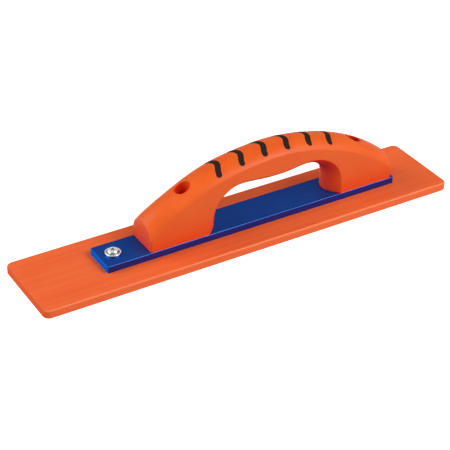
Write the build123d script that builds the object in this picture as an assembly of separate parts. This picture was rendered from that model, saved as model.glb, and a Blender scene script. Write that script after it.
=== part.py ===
"""Hand float for concrete and plaster: resin blade, anodised rail and moulded arch grip.

Frame: origin at the centre of the blade's working face, +Z up, X along the blade.
The toe, where the rail lies bare, is at -X and the heel is at +X.  Millimetres.
"""
from build123d import *
from math import cos, pi, radians, sin, sqrt
import os

# Blade: 16 in x 3-1/4 in x 5/16 in
BLADE_LENGTH = 406.4
BLADE_WIDTH = 82.55
BLADE_THICKNESS = 7.94
BLADE_CORNER_RADIUS = 6.35
BLADE_TOP_EDGE_RADIUS = 1.8
BLADE_LOWER_EDGE_RADIUS = 1.0

# Rail: 34 mm x 1/4 in flat bar on top of the blade, its heel corners rounded more than its toe corners
RAIL_LENGTH = 293.4
RAIL_WIDTH = 34.0
RAIL_THICKNESS = 6.35
RAIL_TOE_X = -134.1
RAIL_TOE_CORNER_RADIUS = 0.8
RAIL_HEEL_CORNER_RADIUS = 2.4
RAIL_EDGE_CHAMFER = 0.3
RAIL_TOP = BLADE_THICKNESS + RAIL_THICKNESS

# Grip: one moulding, an arch on two legs that stand on the rail
GRIP_TOE_X = -92.9
GRIP_HEEL_X = 155.4
GRIP_WIDTH = 33.6
GRIP_END_EDGE_RADIUS = 1.5

# Along the grip, from toe to heel: x, height of the crown, height of the two shoulders
GRIP_PROFILE = (
    (GRIP_TOE_X, 37.6, 24.0),
    (-78.0, 47.3, 35.2),
    (-61.9, 55.6, 45.1),
    (-30.8, 68.8, 60.6),
    (0.2, 75.4, 68.6),
    (31.2, 78.3, 72.0),
    (62.3, 76.8, 69.5),
    (93.3, 70.3, 61.3),
    (124.4, 57.7, 47.1),
    (140.0, 48.4, 37.0),
    (GRIP_HEEL_X, 36.8, 24.6),
)
HEADROOM = 90.0          # a height well clear of the crown
DOME_HALF_WIDTH_AT_ENDS = 16.95
DOME_HALF_WIDTH_AT_MIDDLE = 18.5

# Hand opening: its edge on the grip's flat sides, from the toe leg's foot to the heel leg's foot
ARCH_EDGE = (
    (-36.6, 12.0),
    (-34.4, 19.5),
    (-32.9, 29.0),
    (-29.3, 39.5),
    (-20.8, 49.6),
    (-9.4, 55.8),
    (4.0, 57.0),
    (20.0, 55.5),
    (35.0, 54.8),
    (50.0, 55.7),
    (66.0, 57.5),
    (80.0, 55.1),
    (92.0, 47.6),
    (99.0, 37.3),
    (101.0, 25.0),
    (101.2, 12.0),
)
ARCH_STEPS = 20
LEG_NOSE = 10.0          # how far the inner face of a leg bulges at the middle of the grip
GRIP_BELLY = 8.0         # the same bulge under the middle of the grip
ARCH_SECTIONS = 7
ARCH_OVERCUT = 1.0

# Soft inlays: shallow bowed strips over the crown, flush with it
INLAY_X = (-23.6, -0.8, 22.1, 44.8, 67.5, 89.2)
INLAY_WIDTH = 5.1
INLAY_DEPTH = 2.4
INLAY_BOW = ((0.6, -11.3), (2.0, -7.0), (4.6, -1.0), (4.4, 5.0), (1.3, 11.0))

# Handle screws: M6 x 25 pan heads on plain washers, down through the legs and the rail
SCREW_TOE_X = -53.1
SCREW_HEEL_X = 122.0
ACCESS_HOLE_DIAMETER = 14.0
ACCESS_HOLE_LIP_RADIUS = 0.35
LEDGE_HEIGHT = RAIL_TOP + 12.0
CLEARANCE_DIAMETER = 6.6
SCREW_DIAMETER = 6.0
SCREW_LENGTH = 25.0
SCREW_TIP_CHAMFER = 0.8
HEAD_DIAMETER = 11.3
HEAD_HEIGHT = 4.4
HEAD_EDGE_RADIUS = 2.2
RECESS_SPAN = 6.0
RECESS_SLOT = 1.5
RECESS_DEPTH = 2.6
WASHER_DIAMETER = 12.0
WASHER_THICKNESS = 1.6

# Threaded inserts, set in blind holes in the blade's upper face
INSERT_DIAMETER = 8.5
INSERT_LENGTH = 6.4
INSERT_FLUTES = 16
INSERT_FLUTE_DIAMETER = 0.6

# Toe rivet: large-flange domed blind rivet, gripping in a blind hole in the blade
RIVET_X = -120.8
RIVET_FLANGE_DIAMETER = 14.5
RIVET_FLANGE_THICKNESS = 1.9
RIVET_DOME_DIAMETER = 10.6
RIVET_DOME_HEIGHT = 4.5
RIVET_GROOVE_DEPTH = 0.5
RIVET_RIM_RADIUS = 0.8
RIVET_SHANK_DIAMETER = 6.4
RIVET_SHANK_FLOOR = 4.0
MANDREL_DIAMETER = 2.8
MANDREL_HEAD_DIAMETER = 5.8
MANDREL_HEAD_HEIGHT = 2.0
MANDREL_SUNK = 1.6


def column(diameter, bottom, top, x=0.0, y=0.0):
    """An upright cylinder between two heights."""
    body = Cylinder(diameter / 2, top - bottom, align=(Align.CENTER, Align.CENTER, Align.MIN))
    return Pos(x, y, bottom) * body


def block(length, width, bottom, top, x=0.0):
    """An upright block, centred on its x position and on the blade's middle line."""
    body = Box(length, width, top - bottom, align=(Align.CENTER, Align.CENTER, Align.MIN))
    return Pos(x, 0, bottom) * body


def make_blade():
    """The working blade, with blind holes for the two inserts and the rivet."""
    body = block(BLADE_LENGTH, BLADE_WIDTH, 0, BLADE_THICKNESS)
    body = fillet(body.edges().filter_by(Axis.Z), BLADE_CORNER_RADIUS)
    body = fillet(body.faces().sort_by(Axis.Z)[-1].edges(), BLADE_TOP_EDGE_RADIUS)
    body = fillet(body.faces().sort_by(Axis.Z)[0].edges(), BLADE_LOWER_EDGE_RADIUS)
    for x in (SCREW_TOE_X, SCREW_HEEL_X):
        body -= column(INSERT_DIAMETER, BLADE_THICKNESS - INSERT_LENGTH, BLADE_THICKNESS, x)
    rivet_floor = RIVET_SHANK_FLOOR - MANDREL_HEAD_HEIGHT
    body -= column(RIVET_SHANK_DIAMETER, rivet_floor, BLADE_THICKNESS, RIVET_X)
    return body


def make_rail():
    """The flat bar, with eased upper edges and three clearance holes."""
    middle = RAIL_TOE_X + RAIL_LENGTH / 2
    body = block(RAIL_LENGTH, RAIL_WIDTH, BLADE_THICKNESS, RAIL_TOP, middle)
    corners = body.edges().filter_by(Axis.Z).sort_by(Axis.X)
    body = fillet(corners[:2], RAIL_TOE_CORNER_RADIUS)
    corners = body.edges().filter_by(Axis.Z).sort_by(Axis.X)
    body = fillet(corners[-2:], RAIL_HEEL_CORNER_RADIUS)
    body = chamfer(body.faces().sort_by(Axis.Z)[-1].edges(), RAIL_EDGE_CHAMFER)
    for x in (SCREW_TOE_X, SCREW_HEEL_X, RIVET_X):
        body -= column(CLEARANCE_DIAMETER, BLADE_THICKNESS, RAIL_TOP, x)
    return body


def dome_section(x, crown, shoulder):
    """The grip's cross-section at one place: a straight-sided box under half an ellipse."""
    swell = sin(pi * (x - GRIP_TOE_X) / (GRIP_HEEL_X - GRIP_TOE_X))
    half = DOME_HALF_WIDTH_AT_ENDS + (DOME_HALF_WIDTH_AT_MIDDLE - DOME_HALF_WIDTH_AT_ENDS) * swell
    shoulder_level = sqrt(1 - (GRIP_WIDTH / 2 / half) ** 2)
    rise = (crown - shoulder) / (1 - shoulder_level)
    spring = crown - rise
    walls = Polyline((-half, spring), (-half, RAIL_TOP), (half, RAIL_TOP), (half, spring))
    arc = EllipticalCenterArc((0, spring), half, rise, start_angle=0, arc_size=180)
    return Plane.YZ.offset(x) * make_face(walls + arc)


def make_dome():
    """The grip's outer envelope: the cross-sections joined from toe to heel."""
    return loft([dome_section(*place) for place in GRIP_PROFILE])


def opening_section(edge_line, y):
    """The hand opening's outline at one distance across the grip."""
    points = []
    for step in range(ARCH_STEPS + 1):
        along = step / ARCH_STEPS
        bulge = GRIP_BELLY + (LEG_NOSE - GRIP_BELLY) * (2 * along - 1) ** 2
        inset = bulge * (1 - (2 * y / GRIP_WIDTH) ** 2)
        here = edge_line @ along
        heading = edge_line % along
        points.append((here.X + inset * heading.Y, here.Y - inset * heading.X))
    outline = Spline(*points) + Line(points[-1], points[0])
    return Plane.XZ.offset(-y) * make_face(outline)


def make_opening():
    """The hand opening: narrowest at the middle, so that every inner face is convex."""
    edge_line = Spline(*ARCH_EDGE)
    reach = GRIP_WIDTH / 2 + ARCH_OVERCUT
    steps = [2 * index / (ARCH_SECTIONS - 1) - 1 for index in range(ARCH_SECTIONS)]
    return loft([opening_section(edge_line, reach * step) for step in steps])


def make_inlay(x, dome):
    """One soft inlay: a bowed strip cut from the skin of the dome."""
    strip = trace(Spline(*INLAY_BOW), INLAY_WIDTH)
    for tip in (INLAY_BOW[0], INLAY_BOW[-1]):
        strip += Pos(*tip) * Circle(INLAY_WIDTH / 2)
    cutter = Pos(x, 0, RAIL_TOP) * extrude(strip, HEADROOM)
    return (cutter & dome) - Pos(0, 0, -INLAY_DEPTH) * dome


def make_grip(dome, inlays):
    """The moulding: dome trimmed to flat sides, less the screw holes, opening and grooves."""
    length = GRIP_HEEL_X - GRIP_TOE_X
    middle = (GRIP_HEEL_X + GRIP_TOE_X) / 2
    body = dome & block(length, GRIP_WIDTH, RAIL_TOP, HEADROOM, middle)
    faces = body.faces().sort_by(Axis.X)
    end_edges = faces[0].edges() + faces[-1].edges()
    body = fillet(end_edges.filter_by(lambda edge: edge.center().Z > RAIL_TOP), GRIP_END_EDGE_RADIUS)
    reach = ACCESS_HOLE_DIAMETER / 2 + 0.1
    for x in (SCREW_TOE_X, SCREW_HEEL_X):
        body -= column(CLEARANCE_DIAMETER, RAIL_TOP, LEDGE_HEIGHT, x)
        body -= column(ACCESS_HOLE_DIAMETER, LEDGE_HEIGHT, HEADROOM, x)
        rim = body.edges().filter_by_position(Axis.X, x - reach, x + reach).sort_by(Axis.Z)[-1]
        body = fillet(rim, ACCESS_HOLE_LIP_RADIUS)
    body -= make_opening()
    for inlay in inlays:
        body -= inlay
    return body


def make_screw(x):
    """A pan-head machine screw with a cross recess, standing on its washer."""
    seat = LEDGE_HEIGHT + WASHER_THICKNESS
    top = seat + HEAD_HEIGHT
    head = column(HEAD_DIAMETER, seat, top)
    head = fillet(head.edges().sort_by(Axis.Z)[-1], HEAD_EDGE_RADIUS)
    for turn in (0, 90):
        slot = block(RECESS_SPAN, RECESS_SLOT, top - RECESS_DEPTH, top)
        head -= Rot(0, 0, turn) * slot
    shank = column(SCREW_DIAMETER, seat - SCREW_LENGTH, seat)
    shank = chamfer(shank.edges().sort_by(Axis.Z)[0], SCREW_TIP_CHAMFER)
    return Pos(x, 0, 0) * (head + shank)


def make_washer(x):
    """A plain washer on the ledge at the bottom of an access hole."""
    top = LEDGE_HEIGHT + WASHER_THICKNESS
    return column(WASHER_DIAMETER, LEDGE_HEIGHT, top, x) - column(CLEARANCE_DIAMETER, LEDGE_HEIGHT, top, x)


def make_insert(x):
    """A fluted brass insert, flush with the blade's upper face."""
    floor = BLADE_THICKNESS - INSERT_LENGTH
    body = column(INSERT_DIAMETER, floor, BLADE_THICKNESS) - column(SCREW_DIAMETER, floor, BLADE_THICKNESS)
    for flute in range(INSERT_FLUTES):
        angle = radians(360 * flute / INSERT_FLUTES)
        rim_x = INSERT_DIAMETER / 2 * cos(angle)
        rim_y = INSERT_DIAMETER / 2 * sin(angle)
        body -= column(INSERT_FLUTE_DIAMETER, floor, BLADE_THICKNESS, rim_x, rim_y)
    return Pos(x, 0, 0) * body


def make_rivet():
    """The rivet's hollow body: shank, wide flange and a dome with a hole in its top."""
    flange_radius = RIVET_FLANGE_DIAMETER / 2
    dome_radius = RIVET_DOME_DIAMETER / 2
    bore_radius = MANDREL_DIAMETER / 2
    flange_top = RAIL_TOP + RIVET_FLANGE_THICKNESS
    dome_top = RAIL_TOP + RIVET_DOME_HEIGHT
    groove = (dome_radius, flange_top - RIVET_GROOVE_DEPTH)
    haunch = (0.80 * dome_radius, flange_top + 0.55 * (dome_top - flange_top))
    outline = Polyline(
        (bore_radius, dome_top),
        (bore_radius, RIVET_SHANK_FLOOR),
        (RIVET_SHANK_DIAMETER / 2, RIVET_SHANK_FLOOR),
        (RIVET_SHANK_DIAMETER / 2, RAIL_TOP),
        (flange_radius, RAIL_TOP),
        (flange_radius, flange_top),
        groove,
    )
    crown = ThreePointArc(groove, haunch, (bore_radius, dome_top))
    section = Plane.XZ * make_face(outline + crown)
    body = revolve(section, Axis.Z)
    rim = body.edges().filter_by(lambda edge: edge.center().Z > RAIL_TOP).sort_by(SortBy.LENGTH)[-1]
    return Pos(RIVET_X, 0, 0) * fillet(rim, RIVET_RIM_RADIUS)


def make_mandrel():
    """The mandrel's stub, snapped off inside the rivet, with its head at the bottom."""
    floor = RIVET_SHANK_FLOOR - MANDREL_HEAD_HEIGHT
    top = RAIL_TOP + RIVET_DOME_HEIGHT - MANDREL_SUNK
    stem = column(MANDREL_DIAMETER, floor, top, RIVET_X)
    return stem + column(MANDREL_HEAD_DIAMETER, floor, RIVET_SHANK_FLOOR, RIVET_X)


def main():
    """Make every sub-part and write one STEP file for each."""
    dome = make_dome()
    inlays = [make_inlay(x, dome) for x in INLAY_X]
    parts = {
        "blade": make_blade(),
        "rail": make_rail(),
        "handle": make_grip(dome, inlays),
        "handle_screw_front": make_screw(SCREW_TOE_X),
        "handle_screw_rear": make_screw(SCREW_HEEL_X),
        "handle_washer_front": make_washer(SCREW_TOE_X),
        "handle_washer_rear": make_washer(SCREW_HEEL_X),
        "blade_insert_front": make_insert(SCREW_TOE_X),
        "blade_insert_rear": make_insert(SCREW_HEEL_X),
        "toe_rivet": make_rivet(),
        "toe_rivet_mandrel": make_mandrel(),
    }
    for index, inlay in enumerate(inlays):
        parts[f"grip_inlay_{index + 1}"] = inlay
    os.makedirs("parts", exist_ok=True)
    for name, part in parts.items():
        export_step(part, f"parts/{name}.step")


main()
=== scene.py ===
"""Looks of the hand float: pieces, materials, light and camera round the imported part.

Everything is in metres in the part's own frame: +X towards the heel, +Z up, the floor at z = 0.
"""
import bpy
import bmesh
import math
from mathutils import Matrix, Vector, noise


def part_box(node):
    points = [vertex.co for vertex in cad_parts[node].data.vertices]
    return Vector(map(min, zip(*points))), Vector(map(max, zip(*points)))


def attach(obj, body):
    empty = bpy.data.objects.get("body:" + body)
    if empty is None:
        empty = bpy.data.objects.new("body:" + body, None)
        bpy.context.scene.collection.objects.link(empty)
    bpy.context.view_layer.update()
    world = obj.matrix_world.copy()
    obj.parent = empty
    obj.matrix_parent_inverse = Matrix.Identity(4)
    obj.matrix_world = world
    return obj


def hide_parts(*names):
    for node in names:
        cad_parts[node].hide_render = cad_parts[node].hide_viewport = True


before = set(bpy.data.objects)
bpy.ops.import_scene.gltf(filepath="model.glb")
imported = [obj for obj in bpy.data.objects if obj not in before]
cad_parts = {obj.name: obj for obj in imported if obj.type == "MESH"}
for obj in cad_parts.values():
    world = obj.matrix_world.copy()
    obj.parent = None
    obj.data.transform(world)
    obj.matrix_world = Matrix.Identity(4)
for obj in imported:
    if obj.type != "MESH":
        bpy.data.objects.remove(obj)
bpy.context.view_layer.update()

MM = 0.001
WELD = 0.002 * MM

# Grip and inlays: voxel size and smoothing give their edges a moulded softness
GRIP_VOXEL = 0.6 * MM
GRIP_SMOOTHING = 1
INLAY_VOXEL = 0.3 * MM
INLAY_SMOOTHING = 2
INLAY_PROUD = 0.12 * MM
CUTTER_HEADROOM = 2.0 * MM
UPWARD_NORMAL = 0.2
SHARP_ANGLE = math.radians(38)
INLAY_SHARP_ANGLE = math.radians(80)

# Screws: pan heads with a tapered cross recess, and a coarse machine thread
SCREW_RADIUS = 3.0 * MM
THREAD_PITCH = 1.0 * MM
THREAD_DEPTH = 0.55 * MM
THREAD_ROWS = 8
THREAD_FLANK = 1.5
THREAD_TIP = 1.2 * MM
TIP_RADIUS = 1.65 * MM
TIP_SHOULDER = 2.22 * MM
TIP_BEVEL = 0.2 * MM
HEAD_BEVEL = 0.3 * MM
HEAD_CROWN_RADIUS = 2.2 * MM
HEAD_FLAT = 0.35
RECESS_SPAN = 6.2 * MM
RECESS_SLOT = 1.6 * MM
RECESS_DEPTH = 2.6 * MM
RECESS_HEADROOM = 0.5 * MM
RECESS_TAPER = 0.45

# Washers: bore radius, and the radius of the rolled edge
WASHER_BORE = 3.3 * MM
WASHER_EDGE = 0.35 * MM

# Rivet and its mandrel, whose stem fills the rivet's bore
RIVET_FLANGE_THICKNESS = 1.9 * MM
RIVET_RIM = 0.8 * MM
RIVET_DOME_RADIUS = 5.3 * MM
RIVET_UNDERCUT = 0.2 * MM
RIVET_GROOVE = 0.55 * MM
RIVET_GROOVE_WIDTH = 0.5 * MM
RIVET_GROOVE_FLOOR = 0.15 * MM
RIVET_GROOVE_SLOPE = 0.7
RIVET_DOME_STEPS = 16
RIVET_DOME_FULL_ACROSS = 0.85
RIVET_DOME_FULL_UP = 0.95
RIVET_BORE = 1.4 * MM
RIVET_LIP = 0.35 * MM
RIVET_SHANK_RADIUS = 3.2 * MM
RIVET_SHARP_ANGLE = math.radians(50)
MANDREL_HEAD_HEIGHT = 2.0 * MM
MANDREL_BEVEL = 0.4 * MM
MANDREL_SHOULDER_BEVEL = 0.3 * MM
MANDREL_CLEARANCE = 0.02 * MM
MANDREL_NECK = 0.9 * MM
MANDREL_NECK_END = 0.2 * MM
MANDREL_NECK_SHARE = 0.86
MANDREL_BREAK_RINGS = (0.78, 0.6, 0.42, 0.24)
MANDREL_BREAK = 0.22 * MM
MANDREL_BREAK_REACH = 2.5
BREAK_GRAIN = 0.5 * MM

# Camera: aim, direction, distance and lens, fitted to the photograph's perspective
CAMERA_TARGET = Vector((-5.03, 9.54, 0.0)) * MM
CAMERA_AZIMUTH = math.radians(-30.333)
CAMERA_ELEVATION = math.radians(32.684)
CAMERA_DISTANCE = 1.3422
CAMERA_LENS = 120.48
CAMERA_SENSOR = 36.0

# Light, floor and backdrop; each softbox is a name, a direction, a size and its watts
STUDIO_BELOW = 0.97
STUDIO_ABOVE = 0.22
HORIZON = 0.2
FLOOR_HALF_WIDTH = 6.0
FLOOR_DROP = 0.02 * MM
FLOOR_GLOW = 0.92
BACKDROP_RADIUS = 5.5
LIGHT_AIM = Vector((0.0, 0.0, 0.03))
SOFTBOX_DISTANCE = 1.9
SOFTBOXES = (
    ("high_front_right", (0.42, -0.53, 0.74), 1.2, 29.8),
    ("left", (-1.0, -0.05, 0.35), 0.8, 7.4),
    ("low_front_right", (0.55, -0.80, 0.20), 0.8, 5.9),
    ("high_back_left", (-0.80, 0.50, 0.60), 1.2, 21.0),
)


# ---------------------------------------------------------------- mesh helpers

def add_object(name, data):
    """A new object in the scene's collection, from a mesh, a lamp or a lens."""
    made = bpy.data.objects.new(name, data)
    bpy.context.scene.collection.objects.link(made)
    return made


def object_from(name, work):
    """An object made from a bmesh, which is freed."""
    mesh = bpy.data.meshes.new(name)
    work.to_mesh(mesh)
    work.free()
    return add_object(name, mesh)


def welded_nodes(nodes):
    """A bmesh that holds copies of some CAD nodes' meshes, each welded along its face edges."""
    work = bmesh.new()
    for node in nodes:
        work.from_mesh(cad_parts[node].data)
    bmesh.ops.remove_doubles(work, verts=work.verts, dist=WELD)
    bmesh.ops.recalc_face_normals(work, faces=work.faces)
    return work


def copy_of_nodes(name, nodes):
    """One object that holds welded copies of some CAD nodes' meshes."""
    return object_from(name, welded_nodes(nodes))


def discard(thing):
    """Removes a helper object and its mesh."""
    mesh = thing.data
    bpy.data.objects.remove(thing)
    bpy.data.meshes.remove(mesh)


def apply_modifiers(thing):
    """Replaces an object's mesh by what its modifiers make of it."""
    shape = thing.evaluated_get(bpy.context.evaluated_depsgraph_get())
    mesh = bpy.data.meshes.new_from_object(shape)
    old = thing.data
    thing.modifiers.clear()
    thing.data = mesh
    bpy.data.meshes.remove(old)


def soften(thing, source, voxel, smoothing):
    """Remeshes a solid evenly, lays it back on its source's surface and rounds its edges a little."""
    remesh = thing.modifiers.new("even", "REMESH")
    remesh.mode = "VOXEL"
    remesh.voxel_size = voxel
    remesh.use_smooth_shade = True
    wrap = thing.modifiers.new("lay_back", "SHRINKWRAP")
    wrap.target = source
    wrap.wrap_method = "NEAREST_SURFACEPOINT"
    wrap.wrap_mode = "ON_SURFACE"
    smooth = thing.modifiers.new("round_edges", "SMOOTH")
    smooth.factor = 0.5
    smooth.iterations = smoothing
    apply_modifiers(thing)


def cut(thing, cutters):
    """Cuts closed solids out of another, and then discards them."""
    for cutter in cutters:
        difference = thing.modifiers.new("cut", "BOOLEAN")
        difference.operation = "DIFFERENCE"
        difference.solver = "EXACT"
        difference.object = cutter
    apply_modifiers(thing)
    for cutter in cutters:
        discard(cutter)


def shade(thing, angle=SHARP_ANGLE):
    """Smooth shading, broken at edges sharper than an angle."""
    thing.data.polygons.foreach_set("use_smooth", [True] * len(thing.data.polygons))
    thing.data.set_sharp_from_angle(angle=angle)


def arc(centre, radius, start, end, steps):
    """Points of a profile along an arc, angles in degrees from the outward direction."""
    points = []
    for step in range(steps + 1):
        angle = math.radians(start + (end - start) * step / steps)
        points.append((centre[0] + radius * math.cos(angle), centre[1] + radius * math.sin(angle)))
    return points


def turned(name, profile, around=96, ring=False, shape=None):
    """A turned piece: a profile of (radius, height) swept round Z, closed as a ring or ended on the axis.

    A shape function moves each point from its (radius, height) by its angle.
    """
    work = bmesh.new()
    rows = []
    for radius, height in profile:
        if radius == 0:
            rows.append([work.verts.new((0, 0, height))])
            continue
        row = []
        for step in range(around):
            angle = 2 * math.pi * step / around
            r, z = shape(radius, height, angle) if shape else (radius, height)
            row.append(work.verts.new((r * math.cos(angle), r * math.sin(angle), z)))
        rows.append(row)
    pairs = list(zip(rows, rows[1:]))
    if ring:
        pairs.append((rows[-1], rows[0]))
    for low, high in pairs:
        for step in range(around):
            after = (step + 1) % around
            lower = [low[step % len(low)], low[after % len(low)]]
            upper = [high[after % len(high)], high[step % len(high)]]
            work.faces.new(list(dict.fromkeys(lower + upper)))
    bmesh.ops.recalc_face_normals(work, faces=work.faces)
    return object_from(name, work)


def place(thing, x, y, z=0.0):
    """Moves a piece's mesh, so that the object itself stays at the origin."""
    thing.data.transform(Matrix.Translation((x, y, z)))


def middle(node):
    """The middle of a CAD node's box, in plan."""
    low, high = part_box(node)
    return (low.x + high.x) / 2, (low.y + high.y) / 2


# ---------------------------------------------------------------- material helpers

def add_node(tree, kind, inputs=None, **settings):
    """A shader node with its settings, and with its inputs set or linked."""
    made = tree.nodes.new("ShaderNode" + kind)
    for key, value in settings.items():
        setattr(made, key, value)
    for key, value in (inputs or {}).items():
        if isinstance(value, bpy.types.NodeSocket):
            tree.links.new(value, made.inputs[key])
        else:
            made.inputs[key].default_value = value
    return made


def new_material(name, metallic=0.0, specular=0.5):
    """A material, its tree and its shader, with the even values set on the shader itself."""
    made = bpy.data.materials.new(name)
    made.use_nodes = True
    shader = made.node_tree.nodes["Principled BSDF"]
    shader.inputs["Metallic"].default_value = metallic
    shader.inputs["Specular IOR Level"].default_value = specular
    return made, made.node_tree, shader


def grain(tree, size, detail=2.0, contrast=(0.35, 0.65), distortion=0.0):
    """Noise from 0 to 1 with features of a given size in millimetres along X, Y and Z."""
    where = add_node(tree, "TexCoord")
    scale = tuple(1 / (length * MM) for length in size)
    mapping = add_node(tree, "Mapping", {"Vector": where.outputs["Object"], "Scale": scale})
    texture = add_node(tree, "TexNoise", {"Vector": mapping.outputs[0], "Scale": 1.0, "Detail": detail,
                                          "Distortion": distortion})
    spread = add_node(tree, "MapRange", {"Value": texture.outputs["Fac"], "From Min": contrast[0],
                                         "From Max": contrast[1]})
    return spread.outputs[0]


def span(tree, value, low, high):
    """A 0 to 1 value spread between two others."""
    made = add_node(tree, "MapRange", {"Value": value, "To Min": low, "To Max": high})
    return made.outputs[0]


def blend_colours(tree, factor, first, second):
    """A mix of two colours, each a plain colour or a socket, by a factor socket."""
    made = add_node(tree, "Mix", data_type="RGBA")
    tree.links.new(factor, made.inputs[0])
    for socket, value in ((made.inputs[6], first), (made.inputs[7], second)):
        if isinstance(value, bpy.types.NodeSocket):
            tree.links.new(value, socket)
        else:
            socket.default_value = (*value, 1.0)
    return made.outputs[2]


def relief(tree, height, depth, below=None):
    """A bump of a given depth in millimetres, over another."""
    inputs = {"Height": height, "Distance": depth * MM, "Strength": 1.0}
    if below is not None:
        inputs["Normal"] = below
    return add_node(tree, "Bump", inputs).outputs[0]


def combine(tree, operation, first, second):
    """Arithmetic on two values."""
    made = add_node(tree, "Math", operation=operation)
    for socket, value in zip(made.inputs, (first, second)):
        if isinstance(value, bpy.types.NodeSocket):
            tree.links.new(value, socket)
        else:
            socket.default_value = value
    return made.outputs[0]


def normal_along(tree, axis):
    """The surface normal's part along one axis."""
    surface = add_node(tree, "NewGeometry")
    return add_node(tree, "SeparateXYZ", {"Vector": surface.outputs["Normal"]}).outputs[axis]


def facing(tree, axis, low, high):
    """How far the surface faces along one axis, either way: 0 up to a low value and 1 from a high one."""
    size = combine(tree, "ABSOLUTE", normal_along(tree, axis), 0.0)
    return add_node(tree, "MapRange", {"Value": size, "From Min": low, "From Max": high}).outputs[0]


def facing_down(tree, low, high):
    """How far the surface faces downwards, in the same way."""
    rise = normal_along(tree, "Z")
    return add_node(tree, "MapRange", {"Value": rise, "From Min": -low, "From Max": -high}).outputs[0]


def rounded_edges(tree, axes):
    """1 on a rounded edge between the faces of two axes, and 0 on the faces themselves."""
    first = facing(tree, axes[0], 0.15, 0.5)
    second = facing(tree, axes[1], 0.15, 0.5)
    return combine(tree, "MULTIPLY", first, second)


def openness(tree, reach, low, high):
    """1 in the open and 0 in a recess, by how much there is within a reach in millimetres."""
    around = add_node(tree, "AmbientOcclusion", {"Distance": reach * MM}, samples=8)
    made = add_node(tree, "MapRange", {"Value": around.outputs["AO"], "From Min": low, "From Max": high})
    return made.outputs[0]


# ---------------------------------------------------------------- materials

def blade_resin():
    """Orange resin with lengthwise planing streaks, satin, with painted shade on its sides and ends and a
    painted highlight on its rounded edges.
    """
    made, tree, shader = new_material("blade_resin", specular=0.22)
    streaks = grain(tree, (160, 7.0, 7.0), detail=2.0, distortion=0.1)
    patches = grain(tree, (60, 26, 26), detail=1.0)
    fibres = grain(tree, (18, 0.8, 0.8), detail=3.0)
    specks = grain(tree, (0.5, 0.5, 0.5), detail=2.0)
    colour = blend_colours(tree, streaks, (0.73, 0.098, 0.018), (0.78, 0.124, 0.030))
    colour = blend_colours(tree, span(tree, patches, 0.0, 0.40), colour, (0.79, 0.132, 0.034))
    colour = blend_colours(tree, span(tree, fibres, 0.0, 0.12), colour, (0.62, 0.070, 0.010))
    colour = blend_colours(tree, span(tree, specks, 0.0, 0.10), colour, (0.80, 0.19, 0.08))
    sides = facing(tree, "Y", 0.6, 0.95)
    ends = facing(tree, "X", 0.2, 0.95)
    # Painted shade: the sides facing along Y are toned a deeper orange.
    colour = blend_colours(tree, span(tree, sides, 0.0, 0.8), colour, (0.73, 0.104, 0.020))
    # Painted shade: the end faces are painted a darker orange.
    colour = blend_colours(tree, span(tree, ends, 0.0, 0.9), colour, (0.60, 0.070, 0.004))
    # Painted highlight: the rounded long edges are painted a lighter orange that stands in for their
    # highlight line.
    painted_edge_highlight = rounded_edges(tree, "YZ")
    colour = blend_colours(tree, span(tree, painted_edge_highlight, 0.0, 0.6), colour, (0.82, 0.22, 0.080))
    tree.links.new(colour, shader.inputs["Base Color"])
    rough = combine(tree, "MAXIMUM", span(tree, fibres, 0.42, 0.56), span(tree, ends, 0.0, 0.85))
    tree.links.new(rough, shader.inputs["Roughness"])
    normal = relief(tree, streaks, 0.05)
    normal = relief(tree, fibres, 0.012, normal)
    normal = relief(tree, specks, 0.010, normal)
    tree.links.new(normal, shader.inputs["Normal"])
    return made


def grip_plastic():
    """Orange moulded plastic with a fine spark-eroded texture, with painted shade in its recesses, on its
    upright faces and on its underside.
    """
    made, tree, shader = new_material("grip_plastic", specular=0.29)
    clouds = grain(tree, (30, 18, 18), detail=2.0)
    texture = grain(tree, (0.45, 0.45, 0.45), detail=3.0)
    pores = grain(tree, (1.6, 1.6, 1.6), detail=1.0, contrast=(0.3, 0.7))
    colour = blend_colours(tree, clouds, (0.71, 0.091, 0.005), (0.76, 0.108, 0.009))
    colour = blend_colours(tree, span(tree, texture, 0.0, 0.10), colour, (0.64, 0.052, 0.002))
    upright = combine(tree, "MAXIMUM", facing(tree, "X", 0.7, 0.97), facing(tree, "Y", 0.7, 0.97))
    # Painted shade: faces that stand upright are painted a deeper, darker orange.
    colour = blend_colours(tree, span(tree, upright, 0.0, 0.5), colour, (0.60, 0.072, 0.002))
    # Painted shade: recesses and hollows, found by ambient occlusion, are painted a deeper red.
    colour = blend_colours(tree, openness(tree, 60, 0.40, 0.85), (0.80, 0.034, 0.003), colour)
    # Painted shade: the underside is painted a dark red.
    colour = blend_colours(tree, facing_down(tree, 0.1, 0.6), colour, (0.60, 0.018, 0.002))
    tree.links.new(colour, shader.inputs["Base Color"])
    tree.links.new(span(tree, texture, 0.40, 0.50), shader.inputs["Roughness"])
    normal = relief(tree, pores, 0.008)
    normal = relief(tree, texture, 0.012, normal)
    tree.links.new(normal, shader.inputs["Normal"])
    return made


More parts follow.
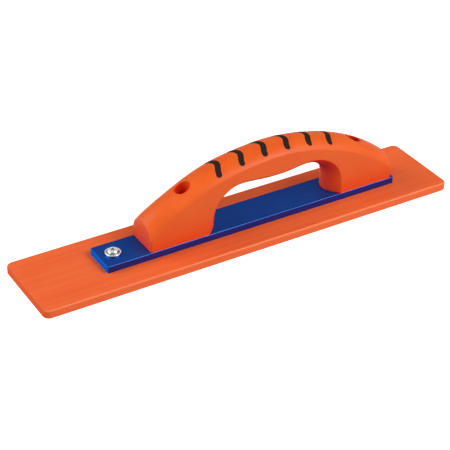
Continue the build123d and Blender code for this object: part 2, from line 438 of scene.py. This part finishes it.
def anodised_rail():
    """Blue anodised aluminium: a brushed upper face, duller sides and sawn ends; painted shade on the
    sides, painted light on the ends and a painted highlight tone on the rounded edges.
    """
    made, tree, shader = new_material("anodised_rail", specular=0.0)
    brushing = grain(tree, (40, 0.22, 0.22), detail=3.0)
    lines = grain(tree, (120, 1.6, 1.6), detail=2.0)
    haze = grain(tree, (25, 12, 12), detail=1.0)
    colour = blend_colours(tree, brushing, (0.0125, 0.079, 0.425), (0.0175, 0.106, 0.545))
    colour = blend_colours(tree, span(tree, lines, 0.0, 0.35), colour, (0.009, 0.064, 0.38))
    colour = blend_colours(tree, span(tree, haze, 0.0, 0.25), colour, (0.014, 0.118, 0.62))
    sides = facing(tree, "Y", 0.5, 0.9)
    ends = facing(tree, "X", 0.5, 0.9)
    # Painted shade: the sides are painted a dark purple, shade tinted by a painted reflection of the
    # orange blade.
    colour = blend_colours(tree, sides, colour, (0.026, 0.022, 0.16))
    # Painted light: the sawn ends are painted a lighter blue, as if lit by the light at the left; their
    # duller finish is their own.
    colour = blend_colours(tree, ends, colour, (0.001, 0.120, 0.62))
    # Painted light: the rounded edges are painted a greyer blue that stands in for the look of their
    # highlight line.
    colour = blend_colours(tree, rounded_edges(tree, "YZ"), colour, (0.030, 0.095, 0.36))
    tree.links.new(colour, shader.inputs["Base Color"])
    dull = combine(tree, "MAXIMUM", sides, ends)
    tree.links.new(span(tree, dull, 0.75, 0.06), shader.inputs["Metallic"])
    tree.links.new(span(tree, brushing, 0.26, 0.42), shader.inputs["Roughness"])
    normal = relief(tree, brushing, 0.006)
    normal = relief(tree, lines, 0.010, normal)
    tree.links.new(normal, shader.inputs["Normal"])
    return made


def inlay_rubber():
    """Soft black rubber, dusty in its fine pores."""
    made, tree, shader = new_material("inlay_rubber", specular=0.13)
    pores = grain(tree, (0.35, 0.35, 0.35), detail=3.0)
    dust = grain(tree, (4, 3, 3), detail=3.0)
    colour = blend_colours(tree, pores, (0.0085, 0.0060, 0.0050), (0.017, 0.012, 0.0100))
    colour = blend_colours(tree, span(tree, dust, 0.0, 0.35), colour, (0.031, 0.021, 0.0165))
    tree.links.new(colour, shader.inputs["Base Color"])
    tree.links.new(span(tree, pores, 0.55, 0.78), shader.inputs["Roughness"])
    tree.links.new(relief(tree, pores, 0.03), shader.inputs["Normal"])
    return made


def plain_metal(name, dark, light, roughness):
    """A bare metal with fine mottling, scuffs and a little relief."""
    made, tree, shader = new_material(name, metallic=1.0)
    mottle = grain(tree, (0.6, 0.6, 0.6), detail=3.0)
    scuffs = grain(tree, (3.0, 0.25, 0.8), detail=2.0, contrast=(0.5, 0.75))
    colour = blend_colours(tree, mottle, dark, light)
    tree.links.new(colour, shader.inputs["Base Color"])
    rough = combine(tree, "ADD", span(tree, mottle, *roughness), span(tree, scuffs, 0.0, 0.10))
    tree.links.new(rough, shader.inputs["Roughness"])
    tree.links.new(relief(tree, mottle, 0.006), shader.inputs["Normal"])
    return made


def rivet_aluminium():
    """Bright aluminium with a faint mottle, mirror-like on its upright sides; painted light makes it pale
    where it faces up and painted shade makes its upright sides dark.
    """
    made, tree, shader = new_material("rivet_aluminium")
    mottle = grain(tree, (0.9, 0.9, 0.9), detail=2.0)
    upward = facing(tree, "Z", 0.35, 0.8)
    colour = blend_colours(tree, mottle, (0.80, 0.84, 0.81), (0.87, 0.90, 0.87))
    # Painted light and shade: faces that look up are painted pale and the upright sides dark.
    colour = blend_colours(tree, upward, (0.34, 0.37, 0.40), colour)
    tree.links.new(colour, shader.inputs["Base Color"])
    tree.links.new(span(tree, upward, 1.0, 0.5), shader.inputs["Metallic"])
    tree.links.new(span(tree, mottle, 0.20, 0.26), shader.inputs["Roughness"])
    tree.links.new(relief(tree, mottle, 0.0015), shader.inputs["Normal"])
    return made


MATERIALS = {
    "blade_resin": blade_resin(),
    "anodised_rail": anodised_rail(),
    "grip_plastic": grip_plastic(),
    "inlay_rubber": inlay_rubber(),
    "zinc_steel": plain_metal("zinc_steel", (0.50, 0.51, 0.50), (0.66, 0.66, 0.62), (0.24, 0.36)),
    "insert_brass": plain_metal("insert_brass", (0.60, 0.42, 0.16), (0.78, 0.58, 0.26), (0.22, 0.34)),
    "rivet_aluminium": rivet_aluminium(),
    "mandrel_steel": plain_metal("mandrel_steel", (0.22, 0.22, 0.23), (0.38, 0.38, 0.38), (0.38, 0.55)),
}


# ---------------------------------------------------------------- pieces

def dress(thing, slot):
    """Gives an object the material of a slot, in place of any other."""
    thing.data.materials.clear()
    thing.data.materials.append(MATERIALS[slot])


def finish_piece(thing, nodes, slot):
    """Gives a new piece the material of its slot and its body, and hides the CAD nodes that it stands
    for.
    """
    dress(thing, slot)
    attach(thing, "root")
    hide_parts(*nodes)


def inlay_nodes():
    """The names of the CAD inlays, from toe to heel."""
    return sorted(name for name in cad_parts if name.startswith("grip_inlay"))


def groove_cutter(node):
    """The solid of one inlay, raised above the grip so that it cuts a clean groove."""
    work = welded_nodes([node])
    work.normal_update()
    upper = [vertex for vertex in work.verts if vertex.normal.z > UPWARD_NORMAL]
    for vertex in upper:
        vertex.co.z += CUTTER_HEADROOM
    return object_from("cutter_" + node, work)


def make_grip():
    """The moulded grip, with softened edges and six grooves."""
    nodes = inlay_nodes()
    source = copy_of_nodes("grip_source", ["handle", *nodes])
    grip = copy_of_nodes("grip_shell", ["handle", *nodes])
    soften(grip, source, GRIP_VOXEL, GRIP_SMOOTHING)
    discard(source)
    cut(grip, [groove_cutter(node) for node in nodes])
    shade(grip)
    finish_piece(grip, ["handle"], "grip_plastic")


def make_inlay(node, number):
    """One soft inlay with rounded edges, a touch proud of its groove."""
    source = copy_of_nodes("inlay_source", [node])
    pad = copy_of_nodes(f"inlay_pad_{number}", [node])
    soften(pad, source, INLAY_VOXEL, INLAY_SMOOTHING)
    discard(source)
    place(pad, 0, 0, INLAY_PROUD)
    shade(pad, INLAY_SHARP_ANGLE)
    finish_piece(pad, [node], "inlay_rubber")


def slot_cutter(top, turn):
    """One slot of a screw head's cross recess, narrower towards its bottom."""
    work = bmesh.new()
    spin = Matrix.Rotation(math.radians(turn), 3, "Z")
    rows = []
    for height, size in ((top + RECESS_HEADROOM, 1.0), (top - RECESS_DEPTH, RECESS_TAPER)):
        half = RECESS_SPAN / 2 * size
        side = RECESS_SLOT / 2 * (1 + size) / 2
        corners = ((-half, -side), (half, -side), (half, side), (-half, side))
        rows.append([work.verts.new(spin @ Vector((x, y, height))) for x, y in corners])
    work.faces.new(rows[0])
    work.faces.new(rows[1])
    for corner in range(4):
        after = (corner + 1) % 4
        work.faces.new((rows[0][corner], rows[0][after], rows[1][after], rows[1][corner]))
    bmesh.ops.recalc_face_normals(work, faces=work.faces)
    return object_from(f"slot_cutter_{turn}", work)


def make_screw(end):
    """A machine screw: threaded shank, rounded pan head and cross recess."""
    node = "handle_screw_" + end
    low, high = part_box(node)
    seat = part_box("handle_washer_" + end)[1].z
    head = (high.x - low.x) / 2
    tip = low.z + THREAD_TIP

    def threaded(radius, height, angle):
        if height > seat - THREAD_PITCH or radius < SCREW_RADIUS:
            return radius, height
        turns = (height / THREAD_PITCH - angle / (2 * math.pi)) % 1
        ridge = 1 - min(1, abs(2 * turns - 1) * THREAD_FLANK)
        return radius - THREAD_DEPTH * (1 - ridge), height

    profile = [(0, low.z), (TIP_RADIUS, low.z), (TIP_SHOULDER, low.z + TIP_BEVEL)]
    rows = int((seat - tip) / THREAD_PITCH * THREAD_ROWS)
    profile += [(SCREW_RADIUS, tip + (seat - tip) * row / rows) for row in range(rows + 1)]
    profile += [(head - HEAD_BEVEL, seat), (head, seat + HEAD_BEVEL)]
    profile += arc((head - HEAD_CROWN_RADIUS, high.z - HEAD_CROWN_RADIUS), HEAD_CROWN_RADIUS, 0, 84, 12)
    profile += [(head * HEAD_FLAT, high.z), (0, high.z)]
    screw = turned("cross_head_screw_" + end, profile, around=48, shape=threaded)
    cut(screw, [slot_cutter(high.z, turn) for turn in (0, 90)])
    place(screw, *middle(node))
    shade(screw)
    finish_piece(screw, [node], "zinc_steel")


def make_washer(end):
    """A stamped washer, rolled over at its outer edge."""
    node = "handle_washer_" + end
    low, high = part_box(node)
    outer = (high.x - low.x) / 2
    profile = [(WASHER_BORE, low.z)]
    profile += arc((outer - WASHER_EDGE, low.z + WASHER_EDGE), WASHER_EDGE, -90, 0, 4)
    profile += arc((outer - WASHER_EDGE, high.z - WASHER_EDGE), WASHER_EDGE, 0, 90, 4)
    profile += [(WASHER_BORE + WASHER_EDGE, high.z), (WASHER_BORE, high.z - WASHER_EDGE)]
    washer = turned("plain_washer_" + end, profile, around=64, ring=True)
    place(washer, *middle(node))
    shade(washer)
    finish_piece(washer, [node], "zinc_steel")


def make_rivet():
    """The blind rivet: wide flange, groove, dome with a rolled lip, and shank."""
    low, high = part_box("toe_rivet")
    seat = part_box("rail")[1].z
    flange = (high.x - low.x) / 2
    flange_top = seat + RIVET_FLANGE_THICKNESS
    profile = [(RIVET_BORE, low.z), (RIVET_SHANK_RADIUS, low.z), (RIVET_SHANK_RADIUS, seat)]
    profile += [(flange - RIVET_UNDERCUT, seat)]
    profile += arc((flange - RIVET_RIM, flange_top - RIVET_RIM), RIVET_RIM, 0, 90, 6)
    profile += [(RIVET_DOME_RADIUS + RIVET_GROOVE_WIDTH, flange_top)]
    profile += [(RIVET_DOME_RADIUS + RIVET_GROOVE_FLOOR, flange_top - RIVET_GROOVE * RIVET_GROOVE_SLOPE)]
    dome_base = flange_top - RIVET_GROOVE
    profile += [(RIVET_DOME_RADIUS, dome_base)]
    lip = RIVET_BORE + RIVET_LIP
    for step in range(1, RIVET_DOME_STEPS + 1):
        angle = math.pi / 2 * step / RIVET_DOME_STEPS
        radius = lip + (RIVET_DOME_RADIUS - lip) * math.cos(angle) ** RIVET_DOME_FULL_ACROSS
        height = dome_base + (high.z - dome_base) * math.sin(angle) ** RIVET_DOME_FULL_UP
        profile.append((radius, height))
    profile += arc((lip, high.z - RIVET_LIP), RIVET_LIP, 105, 180, 5)
    rivet = turned("blind_rivet_body", profile, around=128, ring=True)
    place(rivet, *middle("toe_rivet"))
    shade(rivet, RIVET_SHARP_ANGLE)
    finish_piece(rivet, ["toe_rivet"], "rivet_aluminium")


def make_mandrel():
    """The rivet's snapped mandrel: a plain head, a stem and a torn end."""
    low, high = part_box("toe_rivet_mandrel")
    head = (high.x - low.x) / 2
    shoulder = low.z + MANDREL_HEAD_HEIGHT

    def torn(radius, height, angle):
        if height < high.z - MANDREL_BREAK_REACH * MANDREL_BREAK:
            return radius, height
        spot = Vector((radius * math.cos(angle), radius * math.sin(angle), 0)) / BREAK_GRAIN
        return radius, height + MANDREL_BREAK * noise.noise(spot)

    top = high.z - MANDREL_BREAK
    stem = RIVET_BORE - MANDREL_CLEARANCE
    profile = [(0, low.z), (head - MANDREL_BEVEL, low.z), (head, low.z + MANDREL_BEVEL)]
    profile += [(head, shoulder - MANDREL_SHOULDER_BEVEL), (head - MANDREL_SHOULDER_BEVEL, shoulder)]
    profile += [(stem, shoulder), (stem, top - MANDREL_NECK)]
    profile += [(RIVET_BORE * MANDREL_NECK_SHARE, top - MANDREL_NECK_END)]
    profile += [(RIVET_BORE * share, top) for share in MANDREL_BREAK_RINGS]
    profile += [(0, top)]
    mandrel = turned("snapped_mandrel", profile, around=40, shape=torn)
    place(mandrel, *middle("toe_rivet_mandrel"))
    shade(mandrel)
    finish_piece(mandrel, ["toe_rivet_mandrel"], "mandrel_steel")


make_grip()
for number, inlay in enumerate(inlay_nodes(), 1):
    make_inlay(inlay, number)
for end in ("front", "rear"):
    make_screw(end)
    make_washer(end)
    dress(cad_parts["blade_insert_" + end], "insert_brass")
make_rivet()
make_mandrel()
dress(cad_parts["blade"], "blade_resin")
dress(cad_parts["rail"], "anodised_rail")


# ---------------------------------------------------------------- floor, light and camera

def make_floor():
    """A plain pale floor under the tool."""
    work = bmesh.new()
    bmesh.ops.create_grid(work, x_segments=8, y_segments=8, size=FLOOR_HALF_WIDTH)
    floor = object_from("floor", work)
    place(floor, 0, 0, -FLOOR_DROP)
    made, tree, shader = new_material("floor_paper", specular=0.0)
    paper = blend_colours(tree, grain(tree, (400, 400, 400)), (0.44, 0.44, 0.44), (0.46, 0.46, 0.46))
    tree.links.new(paper, shader.inputs["Base Color"])
    shader.inputs["Roughness"].default_value = 0.9
    shader.inputs["Emission Color"].default_value = (1.0, 1.0, 1.0, 1.0)
    shader.inputs["Emission Strength"].default_value = FLOOR_GLOW
    floor.data.materials.append(made)
    floor.visible_diffuse = False
    floor.visible_glossy = False


def make_backdrop():
    """A white bowl far round the tool, which only the camera sees."""
    bowl = arc((0, 0), BACKDROP_RADIUS, 0, 90, 24)
    backdrop = turned("backdrop", bowl[:-1] + [(0, BACKDROP_RADIUS)])
    made, tree, shader = new_material("backdrop_paper", specular=0.0)
    white = blend_colours(tree, grain(tree, (900, 900, 900)), (0.97, 0.97, 0.97), (1.0, 1.0, 1.0))
    tree.links.new(white, shader.inputs["Emission Color"])
    shader.inputs["Base Color"].default_value = (0.0, 0.0, 0.0, 1.0)
    shader.inputs["Emission Strength"].default_value = 1.0
    backdrop.data.materials.append(made)
    backdrop.visible_diffuse = False
    backdrop.visible_glossy = False
    backdrop.visible_transmission = False
    backdrop.visible_shadow = False


def add_light(name, spot, size, power):
    """A soft square lamp."""
    lamp = bpy.data.lights.new(name, "AREA")
    lamp.shape = "SQUARE"
    lamp.size = size
    lamp.energy = power
    made = add_object(name, lamp)
    made.location = spot
    made.rotation_euler = (spot - LIGHT_AIM).to_track_quat("Z", "Y").to_euler()


def make_light():
    """A white studio, brighter below than above, with four softboxes."""
    world = bpy.data.worlds.new("studio")
    world.use_nodes = True
    tree = world.node_tree
    direction = add_node(tree, "TexCoord").outputs["Generated"]
    height = add_node(tree, "SeparateXYZ", {"Vector": direction}).outputs["Z"]
    level = add_node(tree, "MapRange", {"Value": height, "From Min": -HORIZON, "From Max": HORIZON,
                                        "To Min": STUDIO_BELOW, "To Max": STUDIO_ABOVE})
    sky = tree.nodes["Background"]
    sky.inputs["Color"].default_value = (1.0, 1.0, 1.0, 1.0)
    tree.links.new(level.outputs[0], sky.inputs["Strength"])
    bpy.context.scene.world = world
    for name, aim, size, power in SOFTBOXES:
        add_light(name, Vector(aim).normalized() * SOFTBOX_DISTANCE, size, power)


def make_camera():
    """The camera, at the photograph's viewing angle."""
    flat = math.cos(CAMERA_ELEVATION)
    across, along = math.sin(CAMERA_AZIMUTH) * flat, -math.cos(CAMERA_AZIMUTH) * flat
    back = Vector((across, along, math.sin(CAMERA_ELEVATION)))
    lens = bpy.data.cameras.new("camera")
    lens.sensor_width = CAMERA_SENSOR
    lens.lens = CAMERA_LENS
    camera = add_object("camera", lens)
    camera.location = CAMERA_TARGET + back * CAMERA_DISTANCE
    camera.rotation_euler = back.to_track_quat("Z", "Y").to_euler()
    bpy.context.scene.camera = camera


make_floor()
make_backdrop()
make_light()
make_camera()
bpy.context.scene.view_settings.view_transform = "Standard"
